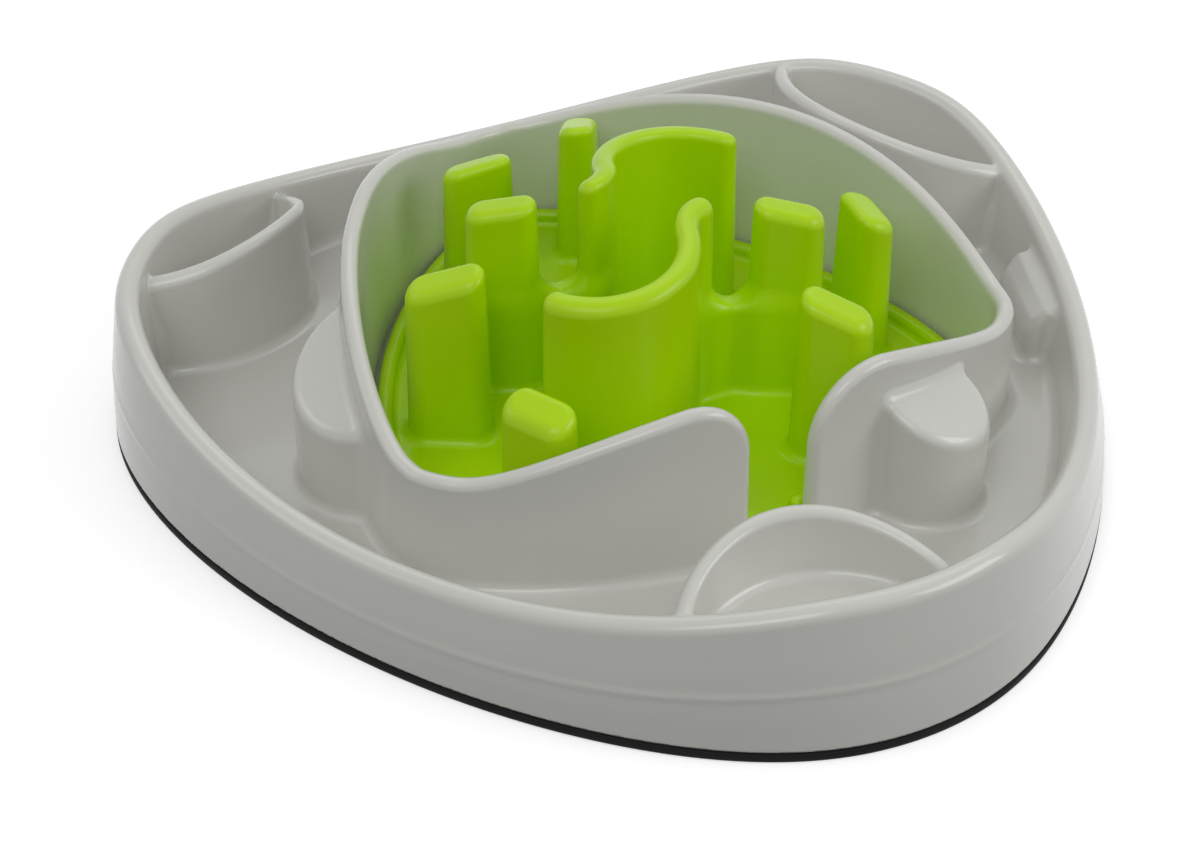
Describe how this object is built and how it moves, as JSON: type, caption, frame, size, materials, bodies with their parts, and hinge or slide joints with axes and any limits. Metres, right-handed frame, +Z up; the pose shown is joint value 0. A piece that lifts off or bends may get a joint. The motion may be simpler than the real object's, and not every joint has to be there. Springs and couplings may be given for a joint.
{
  "type": "slow feeder bowl",
  "caption": "Rounded three-cornered slow feeder bowl with an outer channel, side pockets and a lift-out maze insert of posts and curved walls.",
  "frame": {"origin": "on the ground under the middle of the tray's bounding box", "axes": "+Z up; the tray's three corners lie at 60, 180 and 300 degrees about the outlines' centre, and the gate faces the one at 300 degrees"},
  "size_m": [0.3094, 0.3126, 0.0816],
  "materials": {
    "tray_plastic": "glossy warm white, lightly brushed sheen",
    "insert_plastic": "glossy lime green",
    "ring_rubber": "matt black"
  },
  "bodies": {
    "tray": {"tray": "tray_plastic", "anti_slip_ring": "ring_rubber"},
    "insert": {"maze_insert": "insert_plastic"}
  },
  "joints": [
    {"name": "insert_lift", "type": "slide", "parent": "tray", "child": "insert", "axis": [0, 0, 1], "range_m": [0, 0.08]}
  ]
}
